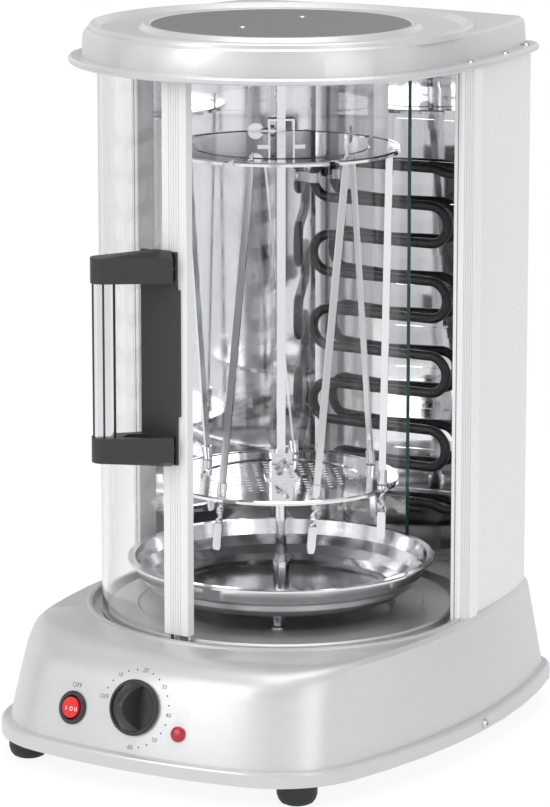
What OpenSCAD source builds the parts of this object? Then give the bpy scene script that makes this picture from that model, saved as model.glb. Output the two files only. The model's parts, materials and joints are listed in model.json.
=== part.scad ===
// Electric skewer grill: a round glass chamber on a low base, with a turning
// skewer rotor, a sliding curved door and a rear heating element.
// Millimetres, +Z up. Origin: floor level under the middle of the footprint.
// Front (controls) is -Y. Modules are drawn about the chamber axis and moved
// back by axis_y, so that the footprint is centred on the origin.

/* [Base] */
// reach of the skirt beyond the glass at the front
skirt_front = 74.5; // [62:0.1:92]
// reach of the skirt beyond the glass at the rear
skirt_rear = 56.7; // [50:0.1:70]
// reach of the skirt beyond the glass at each side
skirt_side = 33.6; // [30:0.1:46]
// height of the rubber feet
foot_h = 15.3; // [10:0.1:25]
// height of the skirt band
skirt_h = 10.3; // [8:0.1:14]
// step from the skirt in to the wall
skirt_lip = 6; // [4:0.1:8]
// level of the base top and the deck rim
deck_z = 90; // [84:0.5:100]
// sheet thickness of the base
base_t = 1.5; // [1:0.1:2.5]

/* [House] */
// reach of the lid flange beyond the glass at the front
flange_front = 20.3; // [18:0.1:24]
// reach of the lid flange beyond the glass at each side
flange_side = 16.2; // [15.8:0.1:20]
// reach of the lid flange beyond the glass at the rear
flange_rear = 43.2; // [40:0.1:48]
// level of the lid underside
lid_z = 478; // [440:1:520]
// height of the lid above its flange
lid_h = 22; // [18:0.5:30]
// thickness of the lid flange
flange_t = 4.5; // [3:0.1:6]
// sheet thickness of casing and reflector
sheet_t = 1; // [0.8:0.1:1.6]
// radius of the round cover in the lid
cover_r = 90.2; // [70:0.1:95]

/* [Door] */
// outer radius of the curved glass
glass_r = 127.8; // [126:0.1:129]
// glass thickness
glass_t = 3.5; // [3:0.1:4]
// angle of the free glass edge behind the front
glass_far = 197; // [185:1:205]
// width of the door edge profile
stile_w = 20; // [16:0.5:22]
// lowest level of the upper handle block
grip_top_z = 340.3; // [300:0.1:360]
// lowest level of the lower handle block
grip_low_z = 216.4; // [180:0.1:240]
// height of each handle block
block_h = 17.3; // [14:0.1:22]

/* [Rotor] */
// radius of the skewer discs
disc_r = 84.2; // [80:0.1:88]
// disc sheet thickness
disc_t = 1.2; // [1:0.1:2]
// level of the lower disc top
low_disc_z = 181; // [170:1:200]
// level of the upper disc top
top_disc_z = 417; // [380:1:430]
// number of skewers
skewers = 7; // [7:1:7]
// radius of the skewer circle
skewer_r = 76; // [72:0.5:78]
// turn of the upper disc against the lower one
disc_turn = 17.8; // [0:0.2:20]
// side of the square spindle
spindle_w = 6; // [5:0.1:7]
// radius of the drip pan rim
pan_r = 109.6; // [100:0.1:114]

/* [Heater] */
// tube diameter of the heating element
tube_d = 7.3; // [6:0.1:8.5]
// distance between neighbouring runs
run_pitch = 27.8; // [24:0.1:30]
// number of runs
runs = 10; // [6:2:10]
// half width of the serpentine
coil_half = 59.6; // [50:0.1:64]
// distance of the element plane behind the glass
coil_back = 15.8; // [14:0.1:18]

/* [Controls] */
// timer knob diameter
knob_d = 38.4; // [34:0.1:44]
// timer knob height
knob_h = 21; // [16:0.5:24]
// grip width of the timer knob at its middle
grip_w = 5.4; // [4:0.1:7]
// bezel diameter of the round switch
bezel_d = 23; // [20:0.5:26]
// lens diameter of the power lamp
lens_d = 10.5; // [8:0.5:12]
// slope of the front panel from the vertical
panel_tilt = 16; // [10:1:20]

/* [Fits] */
// radial running clearance of shafts
run_fit = 0.06; // [0.03:0.01:0.1]
// clearance between moving bodies
move_gap = 0.5; // [0.3:0.1:1]

/* [Hidden] */

$fn = 64;
e = 0.01;

// main reaches, all measured from the chamber axis
base_front = glass_r + skirt_front;
base_rear = glass_r + skirt_rear;
base_side = glass_r + skirt_side;
house_r = glass_r + flange_front;
house_side = glass_r + flange_side;
house_rear = glass_r + flange_rear;
coil_y = glass_r + coil_back;
axis_y = (base_front - base_rear) / 2;

silver = [0.80, 0.81, 0.82];
white = [0.93, 0.93, 0.93];
steel = [0.62, 0.63, 0.64];
bright = [0.80, 0.80, 0.82];
black = [0.06, 0.06, 0.06];
glass = [0.75, 0.88, 0.85, 0.35];

// levels
skirt_z0 = foot_h;
skirt_z1 = foot_h + skirt_h;
lid_z1 = lid_z + flange_t;
lid_top = lid_z1 + lid_h;
groove_z = deck_z - 6;
well_z = deck_z - 6;
pan_floor = deck_z + 8;

// centres of the large plan arcs of the base and of the house
base_fc = [0, 250.7];
base_sc = [-361.6, 2.7];
base_rc = [0, -715.5];
house_fc = [0, 0];
house_sc = [-306, 25];
house_rc = [0, -434];

// one of the two points at ra from a and at rb from b
function meet(a, ra, b, rb) =
    let (d = norm(b - a), m = (d * d + ra * ra - rb * rb) / (2 * d))
    let (h = sqrt(ra * ra - m * m), u = (b - a) / d)
    a + m * u + h * [-u[1], u[0]];

function aim(c, p) = atan2(p[1] - c[1], p[0] - c[0]);

function arc(c, r, a0, a1, n) =
    [for (i = [0 : n - 1]) let (a = a0 + (a1 - a0) * i / n) c + r * [cos(a), sin(a)]];

// right half of a closed plan of five tangent arcs: front, corner, side, corner, rear
function half_plan(fc, fr, sc, sr, rc, rr, cf, cr) =
    let (p = meet(fc, fr - cf, sc, sr - cf), q = meet(sc, sr - cr, rc, rr - cr))
    concat(
        arc(fc, fr, -90, aim(fc, p), 8),
        arc(p, cf, aim(fc, p), aim(sc, p), 9),
        arc(sc, sr, aim(sc, p), aim(sc, q), 8),
        arc(q, cr, aim(sc, q), aim(rc, q), 8),
        arc(rc, rr, aim(rc, q), 90, 4),
        [rc + [0, rr]]);

function both_halves(h) =
    concat(h, [for (i = [len(h) - 2 : -1 : 1]) [-h[i][0], h[i][1]]]);

// base outline for a given reach to the front, side and rear
function base_plan(f, s, r) =
    let (cf = 73 - (base_front - f) * 0.2, cr = 42 - (base_rear - r))
    both_halves(half_plan(base_fc, f + base_fc[1], base_sc, s - base_sc[0],
        base_rc, r - base_rc[1], cf, cr));

// house outline, moved inwards by i
function house_plan(i) =
    both_halves(half_plan(house_fc, house_r - i, house_sc, house_side - i - house_sc[0],
        house_rc, house_rear - i - house_rc[1], 100 - i, 27 - i));

// reach of the wall at level z: straight slopes under a large front fillet
wall_z0 = skirt_z1;
round_r = 30;
round_f = base_front - 47.3;
round_z = deck_z - round_r;
wall_f0 = round_f + round_r * cos(panel_tilt)
    + (round_z + round_r * sin(panel_tilt) - wall_z0) * tan(panel_tilt);
round_steps = [panel_tilt, 28, 40, 52, 64, 77, 90];

function wall_z(a) = round_z + round_r * sin(a);
function wall_f(a) = round_f + round_r * cos(a);
function drop(z, a) = (z - wall_z0) * tan(a) + (z > deck_z - 2 ? (z - deck_z + 2) * 1.1 : 0);
function wall_s(z) = base_side - skirt_lip + 0.4 - drop(z, 10.5);
function wall_r(z) = base_rear - skirt_lip + 0.5 - drop(z, 9.5);

module slab(points, z, t = e) {
    translate([0, 0, z])
    linear_extrude(t)
    polygon(points);
}

// closed ring surface through equal loops of points, each loop [z, points]
module loft_ring(loops) {
    n = len(loops[0][1]);
    m = len(loops);
    polyhedron(
        points = [for (l = loops, p = l[1]) [p[0], p[1], l[0]]],
        faces = [for (j = [0 : m - 1], i = [0 : n - 1], k = [0, 1])
            let (a = j * n + i, b = j * n + (i + 1) % n)
            let (c = ((j + 1) % m) * n + (i + 1) % n, d = ((j + 1) % m) * n + i)
            k == 0 ? [a, c, b] : [a, d, c]]);
}

function skirt_loop(i, z) = [z, base_plan(base_front - i, base_side - i, base_rear - i)];
function wall_loop(f, z, i) = [z - i, base_plan(f - i, wall_s(z) - i, wall_r(z) - i)];
function ring_loop(r, z) = [z, [for (p = wall_loop(round_f, deck_z, 0)[1]) r * p / norm(p)]];

// skirt, wall and rounded shoulder outside, then back down inside
function shell_loops(t) = concat(
    [skirt_loop(0, skirt_z0), skirt_loop(0, skirt_z1 - 1.8), skirt_loop(0.6, skirt_z1 - 0.6),
        skirt_loop(1.8, skirt_z1), wall_loop(wall_f0, wall_z0, 0)],
    [for (a = round_steps) wall_loop(wall_f(a), wall_z(a), 0)],
    [ring_loop(deck_open_r, deck_z), ring_loop(deck_open_r, deck_z - t)],
    [for (i = [len(round_steps) - 1 : -1 : 0])
        wall_loop(wall_f(round_steps[i]), wall_z(round_steps[i]), t)],
    [wall_loop(wall_f0, wall_z0, t), skirt_loop(1.8 + t, skirt_z1 - t), skirt_loop(t, skirt_z1 - 1.8 - t),
        skirt_loop(t, skirt_z0)]);

// puts children on the sloping front panel: local +Z is the outward normal
module on_panel(x, z) {
    r = base_fc[1] + wall_f0 - (z - wall_z0) * tan(panel_tilt);
    a = asin(x / r);
    translate([x, base_fc[1] - r * cos(a), z])
    rotate([90 - panel_tilt, 0, a])
    children();
}

// depth of the panel sheet behind the panel plane
panel_in = base_t * (cos(panel_tilt) + sin(panel_tilt)) + 0.05;
knob_at = [-4.6, 55.8];
knob_turn = 4;
switch_at = [-56, 48];
lamp_at = [31.4, 43];

module at_axis() {
    translate([0, axis_y, 0])
    children();
}

module mirrored() {
    children();
    mirror([1, 0, 0])
    children();
}

// ---------- base ----------

groove_in = glass_r - glass_t - 0.5;
groove_out = glass_r + 7.2;
deck_open_r = groove_out + 2.1;
cable_at = [60, 40];

module base_shell() {
    color(silver)
    at_axis()
    difference() {
        loft_ring(shell_loops(base_t));
        on_panel(knob_at[0], knob_at[1])
        translate([0, 0, -12])
        cylinder(h = 24, d = 9);
        on_panel(switch_at[0], switch_at[1])
        translate([0, 0, -12])
        cylinder(h = 24, d = bezel_d - 3);
        on_panel(lamp_at[0], lamp_at[1])
        translate([0, 0, -12])
        cylinder(h = 24, d = lens_d - 1);
        translate([cable_at[0], base_rear + 5, cable_at[1]])
        rotate([90, 0, 0])
        cylinder(h = 24, d = 12);
        mirrored()
        translate([base_side - 10, screw_y, skirt_z0 + 4.7])
        rotate([0, 90, 0])
        cylinder(h = 20, d = 3.4);
    }
}

screw_y = 8;
plate_z = foot_h + 2;
feet = [[base_side - 53, 39.3 - base_front], [base_side - 53, base_rear - 42.5]];

module base_plate() {
    color(steel)
    at_axis()
    difference() {
        union() {
            slab(base_plan(base_front - base_t, base_side - base_t, base_rear - base_t),
                plate_z, 1.2);
            mirrored()
            translate([base_side - base_t - 3.4, screw_y - 8, plate_z + 0.6])
            cube([3, 16, 4.2]);
        }
        for (p = feet)
            mirrored()
            translate([p[0], p[1], 0])
            cylinder(h = 60, d = 5);
        mirrored()
        translate([base_side - 10, screw_y, skirt_z0 + 4.7])
        rotate([0, 90, 0])
        cylinder(h = 20, d = 2.8);
        for (a = [0 : 30 : 330])
            rotate(a)
            translate([52, 0, 0])
            cylinder(h = 60, d = 8);
    }
}

module rubber_feet() {
    color(black)
    at_axis()
    for (p = feet)
        mirrored()
        translate([p[0], p[1], 0])
        rotate_extrude($fn = 48)
        polygon([[4.4, 0], [8.5, 0], [11, 1.2], [12.8, 3.6], [13.8, 7], [14, foot_h - 1.3],
            [2.5, foot_h - 1.3], [2.5, 7], [4.4, 7]]);
}

module foot_pads() {
    color(white)
    at_axis()
    for (p = feet)
        mirrored()
        translate([p[0], p[1], foot_h - 1.3])
        difference() {
            cylinder(h = 3.3, d = 24);
            translate([0, 0, -1])
            cylinder(h = 6, d = 5);
        }
}

module pan_screw(d, h, shank, len) {
    rotate_extrude($fn = 32)
    polygon([[0, 0], [0, h], [d * 0.22, h], [d * 0.38, h * 0.75], [d / 2, h * 0.2], [d / 2, 0]]);
    translate([0, 0, -len])
    cylinder(h = len + e, d = shank, $fn = 32);
}

module cross_slot(d, h) {
    for (a = [0, 90])
        rotate(a)
        translate([-d * 0.28, -0.5, h * 0.45])
        cube([d * 0.56, 1, h]);
}

module cross_screw(d, h, shank, len) {
    difference() {
        pan_screw(d, h, shank, len);
        cross_slot(d, h);
    }
}

module base_screws() {
    color(bright)
    at_axis() {
        mirrored()
        translate([base_side, screw_y, skirt_z0 + 4.7])
        rotate([0, 90, 0])
        cross_screw(7, 2, 2.7, 5);
        for (p = feet)
            mirrored()
            translate([p[0], p[1], 7])
            rotate([180, 0, 0])
            cross_screw(8, 2.4, 4.9, 13);
    }
}

well_r = 78;
step_r = groove_in - 21.4;
rim_r = groove_out + 3.5;
rim_z = deck_z + 1.4;

// turned sheet with a groove for the glass, a plateau and a central well
module deck_plate() {
    color(steel)
    at_axis() {
        rotate_extrude($fn = 128)
        polygon([[9, well_z - 1], [well_r + 0.6, well_z - 1], [well_r + 4.6, deck_z - 1.8],
            [step_r - 0.7, deck_z - 1.8], [step_r + 0.6, deck_z - 1], [groove_in - 2.6, deck_z - 1],
            [groove_in - 1.5, deck_z - 1.8], [groove_in - 1, groove_z - 0.5],
            [groove_out + 1, groove_z - 0.5], [groove_out + 1, deck_z], [rim_r, deck_z],
            [rim_r, deck_z + 0.9], [rim_r - 0.8, rim_z], [groove_out + 0.7, rim_z],
            [groove_out, deck_z + 0.7], [groove_out, groove_z + 0.5], [groove_in, groove_z + 0.5],
            [groove_in - 0.6, deck_z - 1.2], [groove_in - 2, deck_z], [step_r, deck_z],
            [step_r - 1.3, deck_z - 0.8], [well_r + 4, deck_z - 0.8], [well_r, well_z],
            [9, well_z]]);
        translate([0, 0, deck_z])
        linear_extrude(1)
        difference() {
            intersection() {
                polygon(house_plan(casing_in + sheet_t + 0.3));
                translate([2.8 - glass_r, 60])
                square([2 * glass_r - 5.6, house_rear]);
            }
            circle(r = groove_out + 2.5, $fn = 128);
        }
    }
}

studs = [for (a = [28, 148, 268]) 56 * [cos(a - 90), sin(a - 90)]];

module pan_supports() {
    color(bright)
    at_axis()
    for (p = studs)
        translate([p[0], p[1], well_z])
        rotate_extrude($fn = 32)
        polygon([[0, 0], [5, 0], [5, 1.2], [3, 2], [3, 10.8], [4, 12], [4, pan_floor - well_z - 1.3],
            [0, pan_floor - well_z - 1.3]]);
}

motor_top = well_z - 4;

module drive_motor() {
    color(steel)
    at_axis()
    difference() {
        union() {
            translate([0, 0, motor_top - 16])
            cylinder(h = 16, d = 49);
            translate([-17, -8, motor_top - 34])
            cylinder(h = 18 + e, d = 34);
            translate([0, 0, motor_top - e])
            cylinder(h = 2, d = 12);
            translate([-35, -6, motor_top - 1.5])
            cube([70, 12, 1.5]);
        }
        translate([0, 0, motor_top - 13])
        cylinder(h = 20, r = 2.5 + run_fit);
        for (x = [-30, 30])
            translate([x, 0, motor_top - 5])
            cylinder(h = 8, d = 3.4);
    }
}

module motor_bracket() {
    color(bright)
    at_axis()
    difference() {
        union() {
            for (s = [-1, 1])
                translate([s * 30, 0, motor_top])
                cylinder(h = well_z - 1 - motor_top, d = 9);
            for (s = [-1, 1])
                translate([s * 30, 0, motor_top - 3])
                cylinder(h = 3 + e, d = 3.2);
            for (s = [-1, 1])
                translate([s * 30, 0, motor_top - 3.5])
                cylinder(h = 2, d = 6);
        }
        translate([0, 0, motor_top])
        cylinder(h = 40, d = 20);
    }
}

shoulder_z = 1.8;
shaft_out = 12;

module timer_case() {
    color(steel)
    at_axis()
    on_panel(knob_at[0], knob_at[1])
    difference() {
        union() {
            translate([-21, -21, -26])
            cube([42, 42, 20]);
            translate([0, 0, -6 - e])
            cylinder(h = 6 - panel_in, d = 14);
        }
        translate([0, 0, -20])
        cylinder(h = 30, r = 3 + run_fit);
    }
}

module timer_shaft() {
    color(bright)
    at_axis()
    on_panel(knob_at[0], knob_at[1])
    {
        translate([0, 0, -18])
        cylinder(h = 18 + shoulder_z, r = 3);
        translate([0, 0, shoulder_z - e])
        cylinder(h = shaft_out - shoulder_z, r = 1.7);
    }
}

// round knob: foot disc and a domed middle, cut away on both sides of an arched grip
knob_foot = 3.6;
knob_floor = 2.9;
dome_steps = 14;

module timer_knob() {
    r = knob_d / 2;
    dome_r = r - 2.3;
    side_r = 37;
    dome = [for (i = [0 : dome_steps]) let (t = 1 - i / dome_steps)
        [dome_r * t, knob_foot + (knob_h - knob_foot) * (1 - t * t)]];
    color(black)
    at_axis()
    on_panel(knob_at[0], knob_at[1])
    rotate(knob_turn)
    difference() {
        rotate_extrude($fn = 96)
        polygon(concat([[0, move_gap], [r - 0.5, move_gap], [r, move_gap + 0.6], [r, 2.4],
            [r - 0.5, knob_foot - 0.4], [r - 1.3, knob_foot]], dome));
        intersection() {
            translate([0, 0, knob_floor])
            cylinder(h = knob_h, r = dome_r - 0.4, $fn = 96);
            for (s = [-1, 1])
                translate([s * (side_r + grip_w / 2), 0, knob_floor - 0.5])
                cylinder(h = knob_h, r1 = side_r - 1, r2 = side_r + 0.6, $fn = 128);
        }
        translate([0, 0, -1])
        cylinder(h = 1 + shoulder_z, r = 3);
        cylinder(h = shaft_out - e, r = 1.7);
    }
}

module switch_case() {
    color(black)
    at_axis()
    on_panel(switch_at[0], switch_at[1])
    difference() {
        union() {
            rotate_extrude($fn = 96)
            polygon([[0, -0.3], [bezel_d / 2 - 1.7, -0.3], [bezel_d / 2 - 1.7, 0.02],
                [bezel_d / 2, 0.02], [bezel_d / 2, 1.2], [bezel_d / 2 - 1.2, 2], [0, 2]]);
            translate([0, 0, -20])
            cylinder(h = 20, d = bezel_d - 3.2);
        }
        translate([0, 0, -9])
        cylinder(h = 20, d = bezel_d - 6);
        rotate([90, 0, 0])
        translate([0, -5, -11])
        cylinder(h = 22, r = 1 + run_fit, $fn = 32);
    }
}

// round rocker on a pin that runs across the panel; rest is the middle position
module switch_rocker() {
    color([0.85, 0.12, 0.14])
    at_axis()
    on_panel(switch_at[0], switch_at[1])
    rotate(90)
    difference() {
        union() {
            difference() {
                translate([0, 0, -7])
                cylinder(h = 10, d = bezel_d - 8.6, $fn = 64);
                for (s = [-1, 1])
                    rotate([s * 7, 0, 0])
                    translate([-20, s > 0 ? 0 : -20, 2.4])
                    cube([40, 20, 10]);
            }
            rotate([90, 0, 90])
            translate([0, -5, -9.5])
            cylinder(h = 19, r = 1, $fn = 32);
        }
        for (s = [-1, 1])
            rotate([s * 16, 0, 0])
            translate([-20, s > 0 ? -20 : 0, -12.6])
            cube([40, 20, 6]);
    }
}

module lamp_lens() {
    color([0.7, 0.1, 0.15])
    at_axis()
    on_panel(lamp_at[0], lamp_at[1])
    rotate_extrude($fn = 64)
    polygon([[0, -6], [lens_d / 2 - 1.1, -6], [lens_d / 2 - 1.1, 0], [lens_d / 2, 0],
        [lens_d / 2, 1.4], [lens_d / 2 - 0.8, 2.6], [lens_d * 0.3, 3.4], [0, 3.8]]);
}

module lamp_holder() {
    color(black)
    at_axis()
    on_panel(lamp_at[0], lamp_at[1])
    translate([0, 0, -18])
    difference() {
        cylinder(h = 18 - panel_in, d = lens_d + 3);
        translate([0, 0, 10])
        cylinder(h = 20, d = lens_d - 2.2);
    }
}

module cord_gland() {
    color(black)
    at_axis()
    translate([cable_at[0], base_rear, cable_at[1]])
    rotate([90, 0, 0])
    difference() {
        union() {
            translate([0, 0, 8.2])
            cylinder(h = 14, d = 11.8);
            translate([0, 0, 3.2])
            cylinder(h = 5 + e, d = 18);
            translate([0, 0, 13])
            cylinder(h = 5, d = 17, $fn = 6);
        }
        translate([0, 0, -1])
        cylinder(h = 40, d = 7);
    }
}

// ---------- house ----------

casing_in = 5.7;
post_y = 36;

module rear_casing() {
    color(white)
    at_axis()
    translate([0, 0, deck_z])
    linear_extrude(lid_z - deck_z)
    difference() {
        intersection() {
            polygon(house_plan(casing_in));
            translate([-200, post_y])
            square([400, 200]);
        }
        polygon(house_plan(casing_in + sheet_t));
    }
}

casing_mouth = house_side - casing_in - sheet_t - 0.6;

// hollow edge profile with a front slot and a ribbed side; its rear lip lies in the casing
post_x = glass_r + 2.7;
post_front = 12;
rib_from = [post_x + 7.1, post_front + 1.2];
rib_to = [post_x + 10.5, post_front + 9.8];
rib_n = 5;
post_section = [[post_x, post_front + 0.6], [post_x + 0.6, post_front], [post_x + 5.9, post_front],
    rib_from, rib_to, [post_x + 10.7, post_front + 12], [post_x + 10.7, post_y - 6],
    [post_x + 9.9, post_y - 1.4], [post_x + 8.3, post_y], [casing_mouth - 0.2, post_y],
    [casing_mouth - 0.2, post_y + 10], [casing_mouth - 1.4, post_y + 10],
    [casing_mouth - 1.6, post_y + 3], [post_x, post_y - 1]];

module post_plan() {
    d = rib_to - rib_from;
    difference() {
        polygon(post_section);
        for (i = [0 : rib_n])
            translate(rib_from + (i + 0.5) / (rib_n + 1) * d)
            rotate(atan2(d[1], d[0]))
            square([0.7, 1.2], center = true);
        polygon([[post_x + 1.8, post_front + 2], [post_x + 5.2, post_front + 2],
            [post_x + 8.7, post_front + 11], [post_x + 8.7, post_y - 6.4],
            [post_x + 7.9, post_y - 2.6], [post_x + 1.8, post_y - 3]]);
        translate([post_x + 2.8, post_front - 1])
        square([0.9, 4]);
    }
}

module right_profile() {
    difference() {
        translate([0, 0, deck_z])
        linear_extrude(lid_z - deck_z)
        post_plan();
        translate([0, 0, deck_z])
        difference() {
            cylinder(h = 2 * (rim_z - deck_z) + 0.1, r = rim_r + 0.1, center = true, $fn = 128);
            cylinder(h = 10, r = groove_out - 0.1, center = true, $fn = 128);
        }
    }
}

module right_post() {
    color(white)
    at_axis()
    right_profile();
}

module left_post() {
    color(white)
    at_axis()
    mirror([1, 0, 0])
    right_profile();
}

fold_x = 4;
fold_y = coil_y + 6.9;
panel_x = 62;
panel_y = coil_y + 13.4;
wing_x = glass_r + 6.6;
wing_y = post_y + 2.6;
bead_h = 7;
bead_pitch = 30.7;
bead_top = 447.7;
beads = 11;

function run_z(i) = coil_top - i * run_pitch;
coil_top = 386.6;

// polished sheet behind the element: shallow centre fold, raised beads, side wings
module reflector() {
    z0 = rim_z;
    tilt = atan2(panel_y - fold_y, panel_x - fold_x);
    color(bright)
    at_axis()
    difference() {
        union() {
            translate([0, 0, z0])
            linear_extrude(lid_z - z0)
            polygon([[-wing_x, wing_y], [-panel_x, panel_y], [fold_x, fold_y],
                [panel_x, panel_y], [wing_x, wing_y], [wing_x, wing_y + 1.6],
                [panel_x + 0.6, panel_y + sheet_t], [fold_x, fold_y + sheet_t],
                [-panel_x - 0.6, panel_y + sheet_t], [-wing_x, wing_y + 1.6]]);
            for (i = [0 : beads - 1])
                translate([fold_x, fold_y, bead_top - i * bead_pitch])
                rotate([0, 0, tilt])
                bead(3.5, 54);
        }
        for (s = [0, runs - 1])
            translate([panel_x, coil_y, run_z(s) - lead_drop])
            rotate([0, 90, 0])
            cylinder(h = 40, d = tube_d + 1.4);
    }
}

module bead(x0, x1) {
    for (x = [x0 + bead_h / 2, x1 - bead_h / 2])
        translate([x, 0.3, 0])
        rotate([90, 0, 0])
        cylinder(h = 1.5, d = bead_h, $fn = 32);
    translate([x0 + bead_h / 2, -1.2, -bead_h / 2])
    cube([x1 - x0 - bead_h, 1.5, bead_h]);
}

bend_r = run_pitch / 2;
run_x = coil_half - tube_d / 2 - bend_r;
lead_x = panel_x + 24;
lead_bend = 20;
lead_turn = 22;
lead_drop = 2 * lead_bend * (1 - cos(lead_turn));

module tube(x0, x1) {
    translate([x0, 0, 0])
    rotate([0, 90, 0])
    cylinder(h = x1 - x0, d = tube_d, $fn = 48);
}

// half ring at the end of two runs, s = -1 at the left and 1 at the right
module bend(i, s) {
    translate([s * run_x, 0, run_z(i) - bend_r])
    rotate([90, s * 90, 0])
    rotate_extrude(angle = 180, $fn = 96)
    translate([bend_r, 0])
    circle(d = tube_d, $fn = 48);
}

// end of an outer run: a shallow S bend down, then straight out through the reflector;
// the drawn bend is 0.05 and 0.1 thinner in radius, so its ends sit inside their neighbours
module lead(i) {
    translate([run_x, 0, run_z(i) - lead_bend])
    rotate([90, 0, 0])
    rotate([0, 0, 90 - lead_turn])
    rotate_extrude(angle = lead_turn + 2, $fn = 96)
    translate([lead_bend, 0])
    circle(d = tube_d - 0.1, $fn = 48);
    translate([run_x + 2 * lead_bend * sin(lead_turn), 0, run_z(i) - lead_drop + lead_bend])
    rotate([90, 0, 0])
    rotate([0, 0, -92 - lead_turn])
    rotate_extrude(angle = lead_turn + 4, $fn = 96)
    translate([lead_bend, 0])
    circle(d = tube_d - 0.2, $fn = 48);
    translate([0, 0, run_z(i) - lead_drop])
    tube(run_x + 2 * lead_bend * sin(lead_turn), lead_x);
}

// the serpentine: straight runs joined by half rings, first and last run led out
module heating_element() {
    color([0.12, 0.12, 0.12])
    at_axis()
    translate([0, coil_y, 0]) {
        for (i = [0 : runs - 1])
            translate([0, 0, run_z(i)])
            tube(-run_x, run_x);
        for (i = [0 : runs - 2])
            bend(i, i % 2 == 0 ? -1 : 1);
        for (i = [0, runs - 1])
            lead(i);
    }
}

module lead_bushes() {
    color([0.9, 0.9, 0.86])
    at_axis()
    for (s = [0, runs - 1])
        translate([lead_x - 4, coil_y, run_z(s) - lead_drop])
        rotate([0, 90, 0])
        difference() {
            cylinder(h = 9, d = 11);
            translate([0, 0, -1])
            cylinder(h = 5, d = tube_d);
        }
}

clip_h = 7;
wing_turn = atan2(panel_y - wing_y, wing_x - panel_x);
ear_y = coil_y + 1.6;
ear_x = panel_x + (panel_y - ear_y) / tan(wing_turn);

// collars round the first and the last left bend, each riveted to the reflector wing
module element_clips() {
    color(bright)
    at_axis()
    for (i = [0, runs - 2])
        translate([-run_x - bend_r, coil_y, run_z(i) - bend_r])
        difference() {
            union() {
                translate([0.2, 0, -clip_h / 2])
                cylinder(h = clip_h, d = tube_d + 2.8);
                translate([run_x + bend_r - ear_x - 0.8, -1.6, -clip_h / 2])
                cube([ear_x - run_x - bend_r + 0.8, 1.1, clip_h]);
                translate([run_x + bend_r - ear_x, ear_y - coil_y, 0])
                rotate([0, 0, wing_turn]) {
                    translate([-4.5, -1.05, -clip_h / 2])
                    cube([9, 1, clip_h]);
                    translate([0, -1, 0])
                    rotate([90, 0, 0])
                    pan_screw(7, 1.6, 2, 0.5);
                }
            }
            translate([0.2, 0, -clip_h])
            cylinder(h = 2 * clip_h, d = tube_d + 0.7);
        }
}

// ---------- lid ----------

lid_wall_in = 9.4;
ring_z = lid_top - 3.6;

module lid_body(i, z0) {
    hull() {
        slab(house_plan(lid_wall_in + i), z0);
        slab(house_plan(lid_wall_in + 0.8 + i), ring_z - 4.5 - i);
        slab(house_plan(lid_wall_in + 2 + i), ring_z - 1.5 - i);
        slab(house_plan(lid_wall_in + 4 + i), ring_z - i);
    }
}

module lid_shell() {
    color(silver)
    at_axis()
    difference() {
        union() {
            hull() {
                slab(house_plan(0.8), lid_z);
                slab(house_plan(0), lid_z + 1);
                slab(house_plan(0), lid_z1 - 1.4);
                slab(house_plan(1.6), lid_z1 - e);
            }
            lid_body(0, lid_z1 - 1);
            rotate_extrude($fn = 128)
            polygon([[cover_r + 6, ring_z - 0.5], [glass_r - 2.8, ring_z - 0.5],
                [glass_r + 1.7, lid_top - 0.8], [glass_r + 3, lid_top], [glass_r + 4.6, lid_top - 0.3],
                [glass_r + 5.8, lid_top - 1.4], [glass_r + 6.2, ring_z - 0.5],
                [glass_r + 6.2, ring_z - 1.6], [cover_r + 6, ring_z - 1.6]]);
            rotate_extrude($fn = 128)
            polygon([[cover_r + 0.2, ring_z - 1], [cover_r + 0.2, lid_top - 1.6],
                [cover_r + 1.8, lid_top - 0.6], [cover_r + 5.3, lid_top - 0.6],
                [cover_r + 9.3, ring_z - 0.5], [cover_r + 9.3, ring_z - 1]]);
        }
        translate([0, 0, lid_z - 1])
        linear_extrude(flange_t + 1 + e)
        polygon(house_plan(12));
        translate([0, 0, lid_z - 1])
        cylinder(h = flange_t + 2, r = ceil_lip_r, $fn = 128);
        lid_body(1.4, lid_z1 - 0.4);
        for (p = lid_screw_at)
            mirrored()
            translate([p[0], p[1], lid_z - 1])
            cylinder(h = 8, d = 3);
    }
}

rivet_at = [[-9, -37], [-6, 40]];
cover_h = 2.6;

// round cover: a shallow tray turned over, almost level with the bead round it
module lid_disc() {
    color(steel)
    at_axis()
    translate([0, 0, ring_z + 2 * e])
    difference() {
        cylinder(h = cover_h, r = cover_r, $fn = 128);
        translate([0, 0, -1])
        cylinder(h = cover_h, r = cover_r - 1.5, $fn = 128);
        for (p = rivet_at)
            translate([p[0], p[1], -1])
            cylinder(h = 6, d = 3);
    }
}

module lid_rivets() {
    color(bright)
    at_axis()
    for (p = rivet_at)
        translate([p[0], p[1], ring_z + cover_h + 2 * e])
        pan_screw(5, 1, 3, cover_h);
}

function flange_x(y, i) = house_sc[0] + sqrt(pow(house_side - i - house_sc[0], 2) - pow(y - 25, 2));
lid_screw_at = [for (y = [19, 76, 131]) [flange_x(y, y > 120 ? 6.6 : 4.8), y]];

module lid_screws() {
    color(bright)
    at_axis()
    for (p = lid_screw_at)
        mirrored()
        translate([p[0], p[1], lid_z1])
        cross_screw(5.6, 1.8, 2.9, flange_t);
}

ceil_in = glass_r - glass_t - 0.9;
ceil_out = glass_r + 2.8;
ceil_lip_r = ceil_out + 1.4;
ceil_z = lid_z - 1;

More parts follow.
